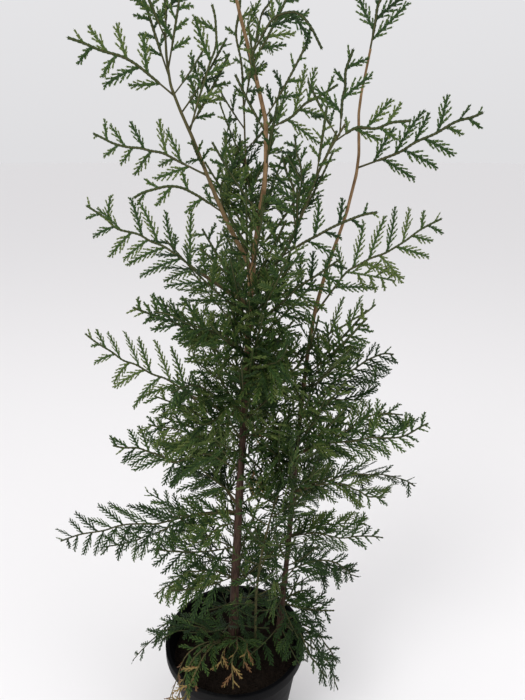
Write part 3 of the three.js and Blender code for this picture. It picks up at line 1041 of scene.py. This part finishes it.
def add_crumbs(soup, radius, top):
    """Loose lumps of peat and bark on the compost."""
    chances = random.Random("crumbs")
    shape = np.array([(1, 0, 0), (-1, 0, 0), (0, 1, 0), (0, -1, 0), (0, 0, 1), (0, 0, -1)], float)
    faces = [(0, 2, 4), (2, 1, 4), (1, 3, 4), (3, 0, 4), (2, 0, 5), (1, 2, 5), (3, 1, 5), (0, 3, 5)]
    for _ in range(CRUMBS):
        reach = (radius - 4 * MM) * math.sqrt(chances.random())
        angle = chances.uniform(0, 2 * math.pi)
        size = chances.uniform(0.5, 1.9) * MM * (1 if chances.random() < 0.93 else 1.8)
        stretch = [chances.uniform(0.6, 1.5), chances.uniform(0.5, 1), chances.uniform(0.4, 0.8)]
        turn = Quaternion((0, 0, 1), chances.uniform(0, 6.3))
        turn = turn @ Quaternion((1, 0, 0), chances.gauss(0, 0.5))
        uneven = 1 + 0.25 * np.array([chances.random() for _ in shape])
        points = shape * uneven[:, None] * np.array(stretch) * size
        points = points @ np.array(turn.to_matrix()).T
        at = (reach * math.cos(angle), reach * math.sin(angle), top - 1.4 * MM + 0.3 * size)
        soup.add(points + at, faces)


# ---- stage ----

FLOOR_COLOUR = (0.84, 0.83, 0.83)
SKY_COLOUR = (0.985, 0.98, 1.0, 1)
SKY_HORIZON = 0.752  # brightness
SKY_OVERHEAD = 0.95
CAMERA_PLACE = (0.0339, -0.540, 0.703)  # fitted to the photo, as are the next two
CAMERA_DOWN = 19.7  # degrees
CAMERA_LENS = 29.1


def make_stage():
    """Plain pale floor, soft studio light and a pale world."""
    bpy.ops.mesh.primitive_circle_add(vertices=128, radius=30, fill_type="NGON")
    floor = bpy.context.object
    floor.name = "floor"
    floor.data.materials.append(plain_material("floor_pale", FLOOR_COLOUR, 0.9))
    make_sky()
    add_light("key", (-1.1, -1.3, 2.2), size=1.1, power=26)
    add_light("fill", (1.6, -0.9, 1.3), size=1.4, power=9)


def make_sky():
    """Even studio light all round, brighter overhead, and as bright as the floor at the horizon."""
    world = bpy.data.worlds.new("studio")
    bpy.context.scene.world = world
    world.use_nodes = True
    height = add_node(
        world, "SeparateXYZ", "Z", {"Vector": add_node(world, "TexCoord", "Generated")}
    )
    ends = {"Value": height, "To Min": SKY_HORIZON, "To Max": SKY_OVERHEAD}
    background = world.node_tree.nodes["Background"]
    set_input(world, background.inputs["Color"], SKY_COLOUR)
    set_input(world, background.inputs["Strength"], add_node(world, "MapRange", "Result", ends))


def add_light(name, place, size, power):
    """A square soft light aimed at the middle of the plant."""
    light = bpy.data.lights.new(name, "AREA")
    light.shape = "SQUARE"
    light.size = size
    light.energy = power
    lamp = bpy.data.objects.new(name, light)
    lamp.location = place
    lamp.rotation_mode = "QUATERNION"
    lamp.rotation_quaternion = (Vector(place) - Vector((0, 0, 0.5))).to_track_quat("Z", "Y")
    bpy.context.scene.collection.objects.link(lamp)


def make_camera():
    """In front of the plant and above its middle, looking down on the pot."""
    data = bpy.data.cameras.new("camera")
    data.lens = CAMERA_LENS
    data.sensor_width = 36
    camera = bpy.data.objects.new("camera", data)
    camera.location = CAMERA_PLACE
    camera.rotation_euler = (math.radians(90 - CAMERA_DOWN), 0, 0)
    data.clip_start = 0.01
    bpy.context.scene.collection.objects.link(camera)
    bpy.context.scene.camera = camera
    bpy.context.scene.view_settings.view_transform = "Standard"


# ---- the whole plant ----

# A frond's tint is drawn from one of these lists, by the region or the pad that it grows in.
GREENS = [DEEP, GREEN, GREEN, GREEN, FRESH]
TOP_GREENS = [GREEN, GREEN, FRESH, FRESH]
FRONT_GREENS = [DEEP, GREEN, GREEN, FRESH, FRESH]
# Painted shade: the fronds over the pot's rim take the darkest greens, for the shade that falls there.
PAINTED_SHADE_GREENS = [SHADE, SHADE, DEEP, DEEP]
YOUNG_REGIONS = ["left_high", "top", "right_high"]
REGION_TINTS = dict.fromkeys(YOUNG_REGIONS, TOP_GREENS)
REGION_TINTS |= {"rim": PAINTED_SHADE_GREENS, "front": FRONT_GREENS}
PAD_TINTS = {"rim_front_left": DRY_TINTS, "rim_front": DRY_TINTS, "left_base": [GREEN, FRESH, LIGHT]}


def make_stems():
    """Every stem and bough, with what they replace. Gives back the stems' middle lines."""
    lines = {name: limb_line(name) for name in STEMS}
    for name in STEMS:
        parent = lines[FORKED[name]][0] if name in FORKED else None
        line, radii = lines[name]
        if parent is None:
            line = np.vstack([line[0] - (0, 0, 6 * MM), line])
            radii = np.concatenate([[radii[0]], radii])
        soup = make_stem(name, line, radii, parent)
        bark = STEM_BARK.get(name, LEADER_BARK)
        stem = soup.object(name + "_bark", [bark], smooth=True)
        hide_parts(name)
        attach(stem, "root")
    make_boughs(lines)
    return {name: line for name, (line, _) in lines.items()}


def make_boughs(lines):
    """The bare boughs between the stems and the larger pads."""
    soup = Soup()
    owner = {pad: stem for stems in REGIONS.values() for stem, pads in stems.items() for pad in pads}
    for name in BOUGHS:
        stem_line = lines[owner[name.removesuffix("_bough")]][0]
        points, _ = mesh_arrays(name)
        gaps = np.linalg.norm(points[:, None] - stem_line[None], axis=2).min(1)
        near, far = points[np.argmin(gaps)], points[np.argmax(gaps)]
        axis = (far - near) / np.linalg.norm(far - near)
        line, radii = limb_line(name, axis, 10)
        piece = make_stem(name, line, radii, stem_line)
        soup.add(np.concatenate(piece.points), np.concatenate(piece.faces))
    boughs = soup.object("boughs_bark", [BOUGH_BARK], smooth=True)
    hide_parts(*BOUGHS)
    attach(boughs, "root")


def make_foliage(stem_lines):
    """One piece of leaves and one of twigs for each region."""
    for region, stems in REGIONS.items():
        young = region in YOUNG_REGIONS
        growth = Growth(YOUNG_WIDTH if young else 1.0)
        tints = REGION_TINTS.get(region, GREENS)
        for stem, pads in stems.items():
            for name in pads:
                fill_pad(Pad(name, stem_lines[stem]), growth, PAD_TINTS.get(name, tints), young)
        for inner in INNER_FRONDS.get(region, []):
            grow_inner_fronds(stem_lines[inner["stem"]], growth, tints, **inner)
        foliage = growth.leaves().object(region + "_leaves", LEAF_MATERIALS)
        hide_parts(*sum(stems.values(), []))
        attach(foliage, "root")
        wood = growth.twigs.object(region + "_twigs", [TWIG_BARK], smooth=True)
        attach(wood, "root")


make_camera()
make_stage()
make_pot()
make_compost()
make_foliage(make_stems())
